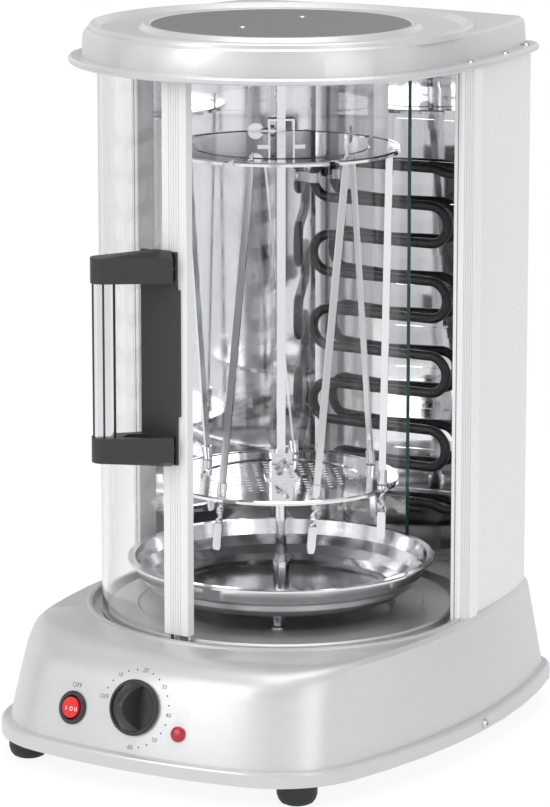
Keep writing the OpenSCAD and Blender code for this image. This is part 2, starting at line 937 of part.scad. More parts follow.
// ceiling of the chamber with the upper groove for the glass
module ceiling_plate() {
    color(steel)
    at_axis() {
        rotate_extrude($fn = 128)
        polygon([[7, ceil_z], [ceil_in - 0.8, ceil_z], [ceil_in, ceil_z + 0.8], [ceil_in, lid_z + 8],
            [ceil_out, lid_z + 8], [ceil_out, lid_z1], [ceil_out + 1, lid_z1],
            [ceil_out + 1, lid_z + 9], [ceil_in - 1, lid_z + 9], [ceil_in - 1, ceil_z + 1],
            [7, ceil_z + 1]]);
        translate([0, 0, lid_z1])
        linear_extrude(1)
        difference() {
            polygon(house_plan(11.2));
            circle(r = ceil_out + 0.2, $fn = 128);
        }
    }
}

module top_bearing() {
    color(bright)
    at_axis()
    rotate_extrude($fn = 64)
    polygon([[2.9 + run_fit, ceil_z - 7], [8, ceil_z - 7], [9, ceil_z - 6], [9, ceil_z],
        [7, ceil_z], [7, ceil_z + 5], [2.9 + run_fit, ceil_z + 5]]);
}

// ---------- door ----------

stile_at = -3.4;
stile_r = glass_r + 2;
stile_d = 7.3;
stile_z0 = deck_z + 3;
stile_z1 = ceil_z - 1.5;
glass_near = 6;
glass_z0 = groove_z + 2;
glass_z1 = lid_z + 6;

// local frame of the door edge: +X along the door, -Y outwards, origin on its face
module on_stile() {
    rotate(stile_at)
    translate([0, -stile_r, 0])
    children();
}

module pane(r0, r1, near, far, z0, z1) {
    translate([0, 0, z0])
    rotate(-90 - far)
    rotate_extrude(angle = far - near, $fn = 180)
    translate([r0, 0])
    square([r1 - r0, z1 - z0]);
}

module door_glass() {
    color(glass)
    at_axis()
    pane(glass_r - glass_t, glass_r, glass_near, glass_far, glass_z0, glass_z1);
}

module door_stile() {
    color(white)
    at_axis()
    difference() {
        on_stile()
        translate([0, 0, stile_z0])
        linear_extrude(stile_z1 - stile_z0)
        difference() {
            polygon([[-stile_w / 2, 0.4], [-stile_w / 2 + 0.5, 0], [stile_w / 2 - 0.5, 0],
                [stile_w / 2, 0.4], [stile_w / 2, stile_d], [-stile_w / 2, stile_d]]);
            for (i = [-2 : 2])
                translate([i * 2 - 0.4, -1])
                square([0.8, 1.5]);
        }
        pane(glass_r - glass_t - 0.05, glass_r + 0.05, glass_near - 0.05, 12, 0, lid_top);
        for (z = grip_screw_z)
            on_stile()
            translate([0, 20, z])
            rotate([90, 0, 0])
            cylinder(h = 30, d = 4.1);
    }
}

grip_screw_z = [grip_low_z + 8, grip_top_z + 9];
grip_tip = [-47, -stile_r - 27.2];
plate_t = 2.6;
plate_x0 = -26;
plate_x1 = 3.1;

module block_plan() {
    hull() {
        translate(grip_tip)
        circle(r = 9, $fn = 48);
        plate_strip(plate_x0, -1);
        translate([-5.6, -stile_r - 7.6])
        circle(r = 1.5, $fn = 24);
    }
}

module plate_strip(x0, x1) {
    rotate(stile_at)
    translate([x0, -stile_r - plate_t - 0.4])
    square([x1 - x0, 0.4]);
}

// wing-shaped end block, its outer side rises towards the door
module handle_block() {
    hull() {
        linear_extrude(block_h)
        block_plan();
        linear_extrude(block_h + 4)
        plate_strip(-14, -1);
    }
}

module handle_blocks() {
    color(black)
    at_axis()
    for (s = [0, 1])
        difference() {
            translate([0, 0, s == 1 ? grip_top_z : grip_low_z + block_h])
            mirror([0, 0, 1 - s])
            handle_block();
            translate([0, 0, s == 0 ? grip_low_z + block_h - 3 : grip_top_z - 1])
            linear_extrude(4)
            translate([0, -stile_r])
            polygon([[-37, -13.2], [-35, -24.2], [-12, -11.2], [-14, -6.2], [-28, -4.7]]);
            on_stile()
            translate([0, 1, grip_screw_z[s]])
            rotate([90, 0, 0])
            cylinder(h = 9, d = 4);
        }
}

bar_w = 15.8;
bar_d = 9;
inlay_w = 1.5;

module at_grip() {
    translate([grip_tip[0], grip_tip[1], grip_low_z + block_h])
    rotate(30.5)
    children();
}

module bar_section() {
    intersection() {
        translate([0, 4])
        circle(r = 9.6, $fn = 96);
        square([bar_w, bar_d], center = true);
    }
}

module inlay_section() {
    for (x = [-bar_w / 2, -inlay_w / 2, bar_w / 2 - inlay_w])
        translate([x, -bar_d])
        square([inlay_w, bar_d + 1]);
}

module handle_grip() {
    color(bright)
    at_axis()
    at_grip()
    linear_extrude(grip_top_z - grip_low_z - block_h)
    difference() {
        bar_section();
        inlay_section();
    }
}

module grip_inlays() {
    color(black)
    at_axis()
    at_grip()
    linear_extrude(grip_top_z - grip_low_z - block_h)
    intersection() {
        bar_section();
        inlay_section();
    }
}

module handle_plate() {
    z0 = grip_low_z - 3;
    z1 = grip_top_z + block_h + 3;
    color(black)
    at_axis()
    difference() {
        on_stile() {
            translate([plate_x0, -plate_t, z0])
            cube([plate_x1 - plate_x0, plate_t, z1 - z0]);
            translate([plate_x1 - 1, -plate_t, z0 + 34])
            cube([3.3, plate_t, z1 - z0 - 60]);
        }
        for (z = grip_screw_z)
            on_stile()
            translate([0, 20, z])
            rotate([90, 0, 0])
            cylinder(h = 30, d = 4);
    }
}

module handle_screws() {
    color(bright)
    at_axis()
    for (z = grip_screw_z)
        on_stile()
        translate([0, stile_d, z])
        rotate([-90, 0, 0])
        cross_screw(7, 2, 4, stile_d + plate_t + 4);
}

// small shoe under the door edge, it runs in the deck groove
module door_slider() {
    color(bright)
    at_axis()
    on_stile()
    translate([stile_w / 2 - 8, 1.8, groove_z + 1.2])
    cube([7, 3.2, stile_z0 - groove_z - 1.2]);
}

// ---------- rotor ----------

spindle_top = ceil_z - 9;
coupling_z0 = deck_z + 3;
coupling_z1 = low_disc_z - 4;
socket = 24;

module spindle() {
    color(bright)
    at_axis() {
        rotate(bracket_turn)
        translate([-spindle_w / 2, -spindle_w / 2, coupling_z1])
        cube([spindle_w, spindle_w, spindle_top - coupling_z1]);
        translate([0, 0, coupling_z1 - socket])
        cylinder(h = socket + 1, r = 2.5);
        translate([0, 0, spindle_top - 1])
        cylinder(h = ceil_z + 3 - spindle_top, r = 2.9);
    }
}

bracket_turn = 35;

module motor_shaft() {
    color(bright)
    at_axis()
    translate([0, 0, motor_top - 12.5])
    cylinder(h = coupling_z0 + 18 - motor_top + 12.5, r = 2.5);
}

// round drive sleeve: bores for the motor shaft below and the spindle tenon above
module drive_coupling() {
    color(bright)
    at_axis()
    difference() {
        translate([0, 0, coupling_z0])
        cylinder(h = coupling_z1 - coupling_z0, d = 8);
        translate([0, 0, coupling_z0 - 1])
        cylinder(h = 19, r = 2.5);
        translate([0, 0, coupling_z1 - socket])
        cylinder(h = socket + 1, r = 2.5);
    }
}

// skewer disc, top face at z = 0: middle at level mid inside radius r, rolled rim
module disc_blank(r, mid) {
    rotate_extrude($fn = 128)
    polygon([[0, mid], [r - 1.2, mid], [r, 0], [disc_r - 3.2, 0], [disc_r - 2.6, 0.5],
        [disc_r - 1, 0.5], [disc_r, -0.5], [disc_r, -2.4], [disc_r - 1.2, -2.4],
        [disc_r - 1.2, -disc_t], [r - 0.6, -disc_t], [r - 1.8, mid - disc_t], [0, mid - disc_t]]);
}

low_mid = -1;
top_mid = 0.5;

first_skewer = -2.6;
step = 360 / skewers;
hole_pitch = 8.2;
hole_d = 4;

function spot(a, r) = r * [sin(a), -cos(a)];

module lower_disc() {
    color(bright)
    at_axis()
    translate([0, 0, low_disc_z])
    difference() {
        disc_blank(57, low_mid);
        rotate(bracket_turn)
        cube([spindle_w, spindle_w, 9], center = true);
        for (i = [0 : skewers - 1])
            translate(spot(first_skewer + i * step, skewer_r))
            translate([0, 0, -4])
            cylinder(h = 8, d = 6.8);
        rotate(bracket_turn)
        for (x = [-6 : 6], y = [-6 : 6])
            if (norm([x, y]) * hole_pitch < 51 && norm([x, y]) * hole_pitch > 17)
                translate([x * hole_pitch, y * hole_pitch, -4])
                cylinder(h = 8, d = hole_d, $fn = 24);
    }
}

// way in for each skewer: notch in the rim, short slot round the disc, hole
slot_turn = 10;
slot_w = 5.6;
hole_top = 7.2;

module upper_disc() {
    color(bright)
    at_axis()
    translate([0, 0, top_disc_z])
    difference() {
        disc_blank(62, top_mid);
        rotate(bracket_turn)
        cube([spindle_w + move_gap, spindle_w + move_gap, 9], center = true);
        for (i = [0 : skewers - 1])
            rotate(first_skewer + disc_turn + i * step - 90) {
                translate([skewer_r, 0, -4])
                cylinder(h = 8, d = hole_top);
                rotate(-slot_turn - 2)
                translate([0, 0, -5])
                rotate_extrude(angle = slot_turn + 2, $fn = 96)
                translate([skewer_r - slot_w / 2, 0])
                square([slot_w, 10]);
                rotate(-slot_turn)
                translate([0, 0, -4.5])
                linear_extrude(9)
                polygon([[skewer_r, -2.2], [disc_r + 4, -5.6], [disc_r + 4, 4.6],
                    [skewer_r, 1.6]]);
            }
    }
}

leg_x = 8.6;
foot_len = 8;
up_h = 19.5;

// strap over the spindle with out-turned feet on the disc
module upper_bracket() {
    color(bright)
    at_axis()
    translate([0, 0, top_disc_z + top_mid])
    rotate(bracket_turn)
    difference() {
        union() {
            for (s = [-1, 1]) {
                translate([s * leg_x - 0.7, -5, 0])
                cube([1.4, 10, up_h]);
                translate([s > 0 ? leg_x : -leg_x - foot_len, -5, 0])
                cube([foot_len, 10, 1.4]);
            }
            translate([-leg_x, -5, up_h - 1.4])
            cube([2 * leg_x, 10, 1.4]);
            translate([-leg_x, 0, up_screw_z])
            rotate([0, 90, 0])
            cylinder(h = 4, d = 8);
        }
        translate([0, 0, up_h / 2])
        cube([spindle_w + move_gap, spindle_w + move_gap, up_h * 2], center = true);
        translate([-leg_x - 2, 0, up_screw_z])
        rotate([0, 90, 0])
        cylinder(h = 9, r = 2 + run_fit);
    }
}

up_screw_z = 10.6;

// clamping screw with a flat round paddle
// screw against a flat of the spindle, flat round paddle at its end
module paddle_screw() {
    translate([0, 0, spindle_w / 2 + 0.35])
    cylinder(h = 11, r = 2);
    translate([0, 0, 17.8])
    rotate([90, 0, 0])
    cylinder(h = 2, d = 11.2, center = true);
}

module upper_thumb_screw() {
    color(bright)
    at_axis()
    translate([0, 0, top_disc_z + top_mid + up_screw_z])
    rotate(bracket_turn)
    rotate([0, -90, 0])
    paddle_screw();
}

low_h = 19;
low_w = 15;

// boxed bracket welded on the lower disc; its screw bears on the spindle
module lower_bracket() {
    color(bright)
    at_axis()
    translate([0, 0, low_disc_z + low_mid])
    rotate(bracket_turn)
    difference() {
        union() {
            translate([-low_w / 2, -9, 0])
            cube([low_w, 1.4, low_h]);
            for (s = [-1, 1])
                translate([s * (low_w / 2 - 0.7) - 0.7, -9, 0])
                cube([1.4, 16, low_h]);
            translate([-low_w / 2, -9, low_h - 1.4])
            cube([low_w, 16, 1.4]);
            for (s = [-1, 1])
                translate([s > 0 ? low_w / 2 - 1 : -low_w / 2 - 4, -9, 0])
                cube([5, 16, 1.4]);
            translate([0, -9 + e, low_h / 2])
            rotate([-90, 0, 0])
            cylinder(h = 3.6, d = 8);
        }
        translate([0, 0, low_h / 2])
        cube([spindle_w, spindle_w, low_h * 2], center = true);
        translate([0, -12, low_h / 2])
        rotate([-90, 0, 0])
        cylinder(h = 8.4, r = 2 + run_fit);
    }
}

paddle_turn = 40;

module lower_wing_screw() {
    color(bright)
    at_axis()
    translate([0, 0, low_disc_z + low_mid + low_h / 2])
    rotate(bracket_turn)
    rotate([90, 0, 0])
    rotate(paddle_turn)
    paddle_screw();
}

module drip_pan() {
    color(bright)
    at_axis()
    difference() {
        rotate_extrude($fn = 128)
        polygon(concat(
            [[5, pan_floor - 1], [74, pan_floor - 1]],
            [for (a = [-75 : 15 : -30]) [74, pan_floor + 32] + 33 * [cos(a), sin(a)]],
            [[pan_r - 4.6, pan_floor + 25.4], [pan_r - 1, pan_floor + 25.4],
                [pan_r, pan_floor + 24.6], [pan_r, pan_floor + 26], [pan_r - 0.8, pan_floor + 26.6],
                [pan_r - 5.4, pan_floor + 26.6]],
            [for (a = [-30 : -15 : -75]) [74, pan_floor + 32] + 32 * [cos(a), sin(a)]],
            [[74, pan_floor], [5.9, pan_floor], [5.9, pan_floor + 21], [5, pan_floor + 21]]));
    }
    color(bright)
    at_axis()
    for (a = [0 : 120 : 240])
        rotate(a + 20)
        translate([5.6, -2, pan_floor - e])
        cube([7, 4, 1]);
}

// ---------- skewers ----------

rise = top_disc_z - low_disc_z;

// flat skewer along +Z: paddle end, twist, collar, blade and point
module skewer_form(len) {
    rotate([90, 0, 0])
    translate([0, 0, -0.8])
    linear_extrude(1.6)
    polygon([[-2.5, -4], [2.5, -4], [2.5, len - 9], [1, len + 3], [0, len + 6.5],
        [-1, len + 3], [-2.5, len - 9]]);
    translate([0, 0, -20])
    linear_extrude(16 + e, twist = -360, slices = 20, segments = 4)
    square([5, 1.6], center = true);
    rotate([90, 0, 0])
    translate([0, 0, -0.8])
    linear_extrude(1.6)
    polygon([[-2.5, -20 + e], [-3, -22], [-3, -36], [-2, -39], [2, -39], [3, -36], [3, -22],
        [2.5, -20 + e]]);
    translate([0, 0, 0.75])
    cylinder(h = 9, d = 7, $fn = 48);
}

// turn of each blade about its own length, as they happen to stand
blade_turn = [0, 0, 90, 0, 90, 0, 0];

module skewer(i) {
    a = first_skewer + i * step;
    p = spot(a, skewer_r);
    d = spot(a + disc_turn, skewer_r) - p;
    color(bright)
    at_axis()
    translate([p[0], p[1], low_disc_z])
    rotate([0, atan2(norm(d), rise), atan2(d[1], d[0])])
    rotate(blade_turn[i % len(blade_turn)])
    skewer_form(norm([d[0], d[1], rise]));
}

module skewer_1() {
    skewer(0);
}

module skewer_2() {
    skewer(1);
}

module skewer_3() {
    skewer(2);
}

module skewer_4() {
    skewer(3);
}

module skewer_5() {
    skewer(4);
}

module skewer_6() {
    skewer(5);
}

module skewer_7() {
    skewer(6);
}

base_shell();
base_plate();
deck_plate();
rubber_feet();
foot_pads();
base_screws();
drive_motor();
motor_bracket();
pan_supports();
timer_case();
timer_knob();
timer_shaft();
switch_case();
switch_rocker();
lamp_lens();
lamp_holder();
cord_gland();
rear_casing();
reflector();
left_post();
right_post();
heating_element();
element_clips();
lead_bushes();
lid_shell();
lid_disc();
lid_rivets();
lid_screws();
ceiling_plate();
top_bearing();
door_glass();
door_stile();
handle_blocks();
handle_grip();
grip_inlays();
handle_plate();
handle_screws();
door_slider();
spindle();
motor_shaft();
drive_coupling();
lower_disc();
lower_bracket();
lower_wing_screw();
upper_disc();
upper_bracket();
upper_thumb_screw();
drip_pan();
skewer_1();
skewer_2();
skewer_3();
skewer_4();
skewer_5();
skewer_6();
skewer_7();
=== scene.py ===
import json
import math

import bpy
from mathutils import Matrix, Vector


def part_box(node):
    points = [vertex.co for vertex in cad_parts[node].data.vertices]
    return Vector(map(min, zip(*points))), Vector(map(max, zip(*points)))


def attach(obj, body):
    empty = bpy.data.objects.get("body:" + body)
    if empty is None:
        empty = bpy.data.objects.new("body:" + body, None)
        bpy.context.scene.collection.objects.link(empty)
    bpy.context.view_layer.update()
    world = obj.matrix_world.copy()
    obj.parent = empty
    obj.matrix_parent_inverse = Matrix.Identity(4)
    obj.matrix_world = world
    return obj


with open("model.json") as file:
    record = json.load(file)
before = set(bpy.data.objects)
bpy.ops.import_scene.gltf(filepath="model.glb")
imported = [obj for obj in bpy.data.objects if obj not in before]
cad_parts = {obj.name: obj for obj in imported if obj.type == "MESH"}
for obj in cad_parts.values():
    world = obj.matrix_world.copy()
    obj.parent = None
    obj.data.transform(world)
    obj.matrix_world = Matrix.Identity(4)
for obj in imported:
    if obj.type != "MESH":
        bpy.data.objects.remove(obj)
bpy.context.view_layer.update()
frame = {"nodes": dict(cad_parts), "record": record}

AXIS_Y = 0.0089      # y of the upright chamber axis, metres
NODES = frame["nodes"]

# sockets of Blender's Mix node that carry colours
MIX_FACTOR, MIX_A, MIX_B, MIX_RESULT = 0, 6, 7, 2


# ---------- shader node helpers ----------

def add_node(tree, kind, **values):
    """Adds a node and sets its properties, such as operation or data_type."""
    n = tree.nodes.new(kind)
    for key, value in values.items():
        setattr(n, key, value)
    return n


def math_node(tree, operation, a, b, clamp=False):
    """Adds a Math node on two sockets or numbers and returns its output."""
    n = add_node(tree, "ShaderNodeMath", operation=operation, use_clamp=clamp)
    for value, socket in zip((a, b), n.inputs):
        if isinstance(value, float):
            socket.default_value = value
        else:
            tree.links.new(value, socket)
    return n.outputs[0]


def mix_shaders(tree, factor, first, second):
    n = add_node(tree, "ShaderNodeMixShader")
    for value, socket in zip((factor, first, second), n.inputs):
        tree.links.new(value, socket)
    return n.outputs[0]


def ray_switches(tree):
    """Returns 1 after a glossy bounce, and 1 for rays from the camera or out of the glass."""
    path = add_node(tree, "ShaderNodeLightPath")
    mirrored = math_node(tree, "GREATER_THAN", path.outputs["Glossy Depth"], 0.5)
    direct = math_node(tree, "MAXIMUM", path.outputs["Is Camera Ray"],
                       path.outputs["Is Transmission Ray"])
    return mirrored, direct


# ---------- materials ----------

class Mat:
    """Builds one procedural material around a Principled shader."""

    def __init__(self, name, color, metallic=0.0, rough=0.5, **extra):
        self.m = bpy.data.materials.new(name)
        self.m.use_nodes = True
        self.t = self.m.node_tree
        self.p = self.t.nodes["Principled BSDF"]
        self.p.inputs["Base Color"].default_value = (*color, 1)
        self.p.inputs["Metallic"].default_value = metallic
        self.p.inputs["Roughness"].default_value = rough
        for key, value in extra.items():
            self.p.inputs[key.replace("_", " ")].default_value = value
        self.color, self.rough = color, rough

    def node(self, kind, **values):
        return add_node(self.t, kind, **values)

    def link(self, a, b):
        self.t.links.new(a, b)

    def show(self, shader):
        self.link(shader, self.t.nodes["Material Output"].inputs["Surface"])

    def coords(self, stretch):
        """Object coordinates, stretched to draw a noise out into lines."""
        c = self.node("ShaderNodeTexCoord")
        m = self.node("ShaderNodeMapping")
        m.inputs["Scale"].default_value = stretch
        self.link(c.outputs["Object"], m.inputs["Vector"])
        return m.outputs["Vector"]

    def from_axis(self):
        """Level vector from the chamber axis to the point, in object coordinates."""
        c = self.node("ShaderNodeTexCoord")
        sub = self.node("ShaderNodeVectorMath", operation="SUBTRACT")
        sub.inputs[1].default_value = (0, AXIS_Y, 0)
        self.link(c.outputs["Object"], sub.inputs[0])
        flat = self.node("ShaderNodeVectorMath", operation="MULTIPLY")
        flat.inputs[1].default_value = (1, 1, 0)
        self.link(sub.outputs[0], flat.inputs[0])
        return flat.outputs[0]

    def noise(self, scale, stretch=(1, 1, 1), detail=3.0, vector=None):
        n = self.node("ShaderNodeTexNoise")
        n.inputs["Scale"].default_value = scale
        n.inputs["Detail"].default_value = detail
        self.link(vector or self.coords(stretch), n.inputs["Vector"])
        return n.outputs["Fac"]

    def ramp(self, fac, low, high, a=0.3, b=0.7):
        """Maps a..b of a value to low..high."""
        r = self.node("ShaderNodeMapRange")
        r.inputs["From Min"].default_value = a
        r.inputs["From Max"].default_value = b
        r.inputs["To Min"].default_value = low
        r.inputs["To Max"].default_value = high
        self.link(fac, r.inputs["Value"])
        return r.outputs["Result"]

    def vary_rough(self, fac, spread):
        self.link(self.ramp(fac, max(0.01, self.rough - spread), self.rough + spread),
                  self.p.inputs["Roughness"])

    def vary_color(self, fac, spread):
        mix = self.node("ShaderNodeMix", data_type="RGBA")
        mix.inputs[MIX_A].default_value = (*[c * (1 - spread) for c in self.color], 1)
        mix.inputs[MIX_B].default_value = (*[min(1, c * (1 + spread)) for c in self.color], 1)
        self.link(fac, mix.inputs[MIX_FACTOR])
        self.link(mix.outputs[MIX_RESULT], self.p.inputs["Base Color"])

    def bump(self, fac, strength, distance=0.0002):
        b = self.node("ShaderNodeBump")
        b.inputs["Strength"].default_value = strength
        b.inputs["Distance"].default_value = distance
        self.link(fac, b.inputs["Height"])
        self.link(b.outputs["Normal"], self.p.inputs["Normal"])


def plain(name, color, metallic, rough, fine=900, spread=0.05, tint=0.02, bump=0.03, **extra):
    """Even surface: a noise of scale fine varies roughness by spread and colour by tint."""
    m = Mat(name, color, metallic, rough, **extra)
    m.vary_rough(m.noise(fine), spread)
    m.vary_color(m.noise(fine * 0.11), tint)
    if bump:
        m.bump(m.noise(fine * 2.2, detail=2), bump)
    return m.m


def turned(name, color, rough, lines=0.12, scale=900):
    """Metal with fine concentric lines about the chamber axis."""
    m = Mat(name, color, 1.0, rough)
    length = m.node("ShaderNodeVectorMath", operation="LENGTH")
    m.link(m.from_axis(), length.inputs[0])
    comb = m.node("ShaderNodeCombineXYZ")
    m.link(length.outputs["Value"], comb.inputs[0])
    rings = m.noise(scale, detail=4, vector=comb.outputs[0])
    m.vary_rough(rings, lines)
    m.vary_color(m.noise(40), 0.03)
    m.bump(rings, 0.08)
    return m.m


def brushed(name, color, rough, stretch, scale=60, strength=0.06, spread=0.07):
    """Metal with brushed lines along the axis that stretch scales least."""
    m = Mat(name, color, 1.0, rough)
    lines = m.noise(scale, stretch, detail=4)
    m.vary_rough(lines, spread)
    m.vary_color(m.noise(35), 0.02)
    m.bump(lines, strength)
    return m.m


def glass_door():
    """Clear glass: green on its cut edges, and it lets shadow light through."""
    m = Mat("door_glass", (0.985, 0.99, 0.99), 0, 0.0)
    m.p.inputs["Transmission Weight"].default_value = 1.0
    m.p.inputs["IOR"].default_value = 1.55
    m.vary_rough(m.noise(30), 0.004)
    # a curved face looks along the radius, a cut edge across it
    unit = m.node("ShaderNodeVectorMath", operation="NORMALIZE")
    m.link(m.from_axis(), unit.inputs[0])
    dot = m.node("ShaderNodeVectorMath", operation="DOT_PRODUCT")
    m.link(unit.outputs[0], dot.inputs[0])
    m.link(m.node("ShaderNodeTexCoord").outputs["Normal"], dot.inputs[1])
    side = m.node("ShaderNodeMath", operation="ABSOLUTE")
    m.link(dot.outputs["Value"], side.inputs[0])
    edge = m.ramp(side.outputs[0], 1, 0, 0.4, 0.6)
    green = m.node("ShaderNodeBsdfPrincipled")
    green.inputs["Base Color"].default_value = (0.035, 0.12, 0.10, 1)
    green.inputs["Roughness"].default_value = 0.12
    clear = m.node("ShaderNodeBsdfTransparent")
    path = m.node("ShaderNodeLightPath")
    pane = mix_shaders(m.t, path.outputs["Is Shadow Ray"], m.p.outputs[0], clear.outputs[0])
    m.show(mix_shaders(m.t, edge, pane, green.outputs[0]))
    return m.m


# plain: name, colour, metallic, roughness, then fine, spread, tint and bump
# turned and brushed: name, colour, roughness
M = {
    "silver_paint": plain("silver_paint", (0.64, 0.64, 0.645), 0.38, 0.34, 1400, 0.05, 0.03, 0.04,
                          Coat_Weight=0.3, Coat_Roughness=0.2),
    "white_paint": plain("white_paint", (0.80, 0.80, 0.805), 0, 0.30, 1100, 0.05, 0.01, 0.008),
    "white_profile": plain("white_profile", (0.84, 0.84, 0.845), 0, 0.30, 900, 0.05, 0.01, 0.02),
    "zinc_steel": plain("zinc_steel", (0.55, 0.56, 0.58), 1, 0.35, 500, 0.08, 0.05, 0.05),
    "brushed_deck": turned("brushed_deck", (0.78, 0.78, 0.785), 0.45, lines=0.06),
    "lid_steel": turned("lid_steel", (0.36, 0.36, 0.365), 0.40),
    "pan_steel": turned("pan_steel", (0.80, 0.80, 0.81), 0.12, lines=0.04),
    "skewer_steel": brushed("skewer_steel", (0.82, 0.82, 0.83), 0.16, (40, 40, 1)),
    "screw_steel": plain("screw_steel", (0.72, 0.72, 0.74), 1, 0.22, 700, 0.06, 0.03, 0.03),
    "polished_sheet": brushed("polished_sheet", (0.86, 0.865, 0.875), 0.045, (2, 2, 14), scale=8,
                              strength=0.006, spread=0.02),
    "chrome_disc": turned("chrome_disc", (0.84, 0.845, 0.85), 0.07, lines=0.02, scale=300),
    "chrome_parts": plain("chrome_parts", (0.80, 0.80, 0.81), 1, 0.09, 500, 0.04, 0.02, 0.01),
    "grip_metal": brushed("grip_metal", (0.90, 0.90, 0.91), 0.22, (60, 60, 1)),
    "black_plastic": plain("black_plastic", (0.030, 0.030, 0.031), 0, 0.38, 1500, 0.06, 0.15,
                           0.06),
    "red_rocker": plain("red_rocker", (0.72, 0.025, 0.025), 0, 0.2, 600, 0.04, 0.05, 0.01),
    "red_lens": plain("red_lens", (0.44, 0.02, 0.045), 0, 0.15, 600, 0.04, 0.05, 0.02),
    "ceramic": plain("ceramic", (0.80, 0.79, 0.74), 0, 0.6, 500),
    "white_pad": plain("white_pad", (0.75, 0.75, 0.75), 0, 0.5, 500),
    "black_rubber": plain("black_rubber", (0.020, 0.020, 0.020), 0, 0.55, 900, 0.08, 0.15, 0.1),
    "black_element": plain("black_element", (0.026, 0.026, 0.027), 0.2, 0.34, 500, 0.1, 0.2, 0.06),
    "door_glass": glass_door(),
}
PRINT = plain("print_grey", (0.075, 0.075, 0.08), 0, 0.5, 900, 0.05, 0.1, 0)
MARK = plain("print_white", (0.85, 0.85, 0.85), 0, 0.4, 900, 0.05, 0.02, 0)

slots = {s["node"]: s["material_slot"] for s in frame["record"]["subparts"]}
for name, obj in NODES.items():
    obj.data.materials.clear()
    obj.data.materials.append(M[slots[name]])

# the pressed shells are smooth sheets, so their small facets shade as one surface
WELD_DISTANCE = 0.00001
EDGE_ANGLE = math.radians(24)
for name in ("base_shell", "lid_shell", "handle_blocks"):
    mesh = NODES[name].data
    if "custom_normal" in mesh.attributes:
        mesh.attributes.remove(mesh.attributes["custom_normal"])
    mesh.polygons.foreach_set("use_smooth", [True] * len(mesh.polygons))
    weld = NODES[name].modifiers.new("weld", "WELD")
    weld.merge_threshold = WELD_DISTANCE
    split = NODES[name].modifiers.new("split", "EDGE_SPLIT")
    split.split_angle = EDGE_ANGLE


# ---------- print on the panel and the rocker ----------

bpy.context.view_layer.update()
TILT = math.radians(16)              # slope of the front panel from the vertical
RIGHT = Vector((1, 0, 0))            # panel axes
UP = Vector((0, math.sin(TILT), math.cos(TILT)))
OUT = Vector((0, -math.cos(TILT), math.sin(TILT)))
RAY_START = 0.05                     # where the search for the surface begins
PRINT_LIFT = 0.00006                 # height of the ink over it

DIAL_R = 0.0265
DIAL_OFF_DEG = -80.0
DIAL_TEN_DEG, DIAL_STEP_DEG = -38, 43.5
DOT_R = 0.00062
DIAL_TEXT, SWITCH_TEXT = 0.0043, 0.0047
SWITCH_UP, SWITCH_RIGHT = 0.0150, 0.0008
MARK_AT = 0.0042                     # outer marks, from the rocker's middle
MARK_H = 0.0027


def middle(node):
    low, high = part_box(node)
    return (low + high) / 2


def lay_on(mesh, carrier, origin):
    """Drops a flat mesh, drawn in panel axes in metres, onto the carrier's outside."""
    for v in mesh.vertices:
        p = origin + RIGHT * v.co.x + UP * v.co.y
        hit, at, _, _ = carrier.ray_cast(p + OUT * RAY_START, -OUT)
        v.co = (at if hit else p) + OUT * PRINT_LIFT


def printed(name, mesh, carrier, origin, material):
    lay_on(mesh, NODES[carrier], origin)
    mesh.materials.clear()
    mesh.materials.append(material)
    o = bpy.data.objects.new(name, mesh)
    bpy.context.scene.collection.objects.link(o)
    return o


def text_mesh(words, size):
    curve = bpy.data.curves.new("words", "FONT")
    curve.body = words
    curve.size = size
    curve.align_x = "CENTER"
    curve.align_y = "CENTER"
    curve.offset = -size * 0.004
    o = bpy.data.objects.new("words", curve)
    bpy.context.scene.collection.objects.link(o)
    bpy.context.view_layer.update()
    mesh = bpy.data.meshes.new_from_object(o)
    bpy.data.objects.remove(o)
    return mesh


def ring_mesh(outer, inner=0.0, n=28):
    """Flat ring, or a full disc where inner is zero."""
    mesh = bpy.data.meshes.new("ring")
    turn = [2 * math.pi * i / n for i in range(n)]
    verts = [(r * math.cos(t), r * math.sin(t), 0) for r in (outer, inner) for t in turn]
    faces = [(i, (i + 1) % n, n + (i + 1) % n, n + i) for i in range(n)]
    if not inner:
        verts, faces = verts[:n], [tuple(range(n))]
    mesh.from_pydata(verts, [], faces)
    return mesh


def bar_mesh(width, height, at=(0.0,)):
    """Upright bars with their middles at the given x."""
    mesh = bpy.data.meshes.new("bar")
    verts, faces = [], []
    for x in at:
        k = len(verts)
        verts += [(x - width / 2, -height / 2, 0), (x + width / 2, -height / 2, 0),
                  (x + width / 2, height / 2, 0), (x - width / 2, height / 2, 0)]
        faces.append((k, k + 1, k + 2, k + 3))
    mesh.from_pydata(verts, [], faces)
    return mesh


DIAL = middle("timer_shaft")


def on_dial(deg):
    """Point on the dial's circle, clockwise from the top."""
    a = math.radians(deg)
    return DIAL + RIGHT * DIAL_R * math.sin(a) + UP * DIAL_R * math.cos(a)


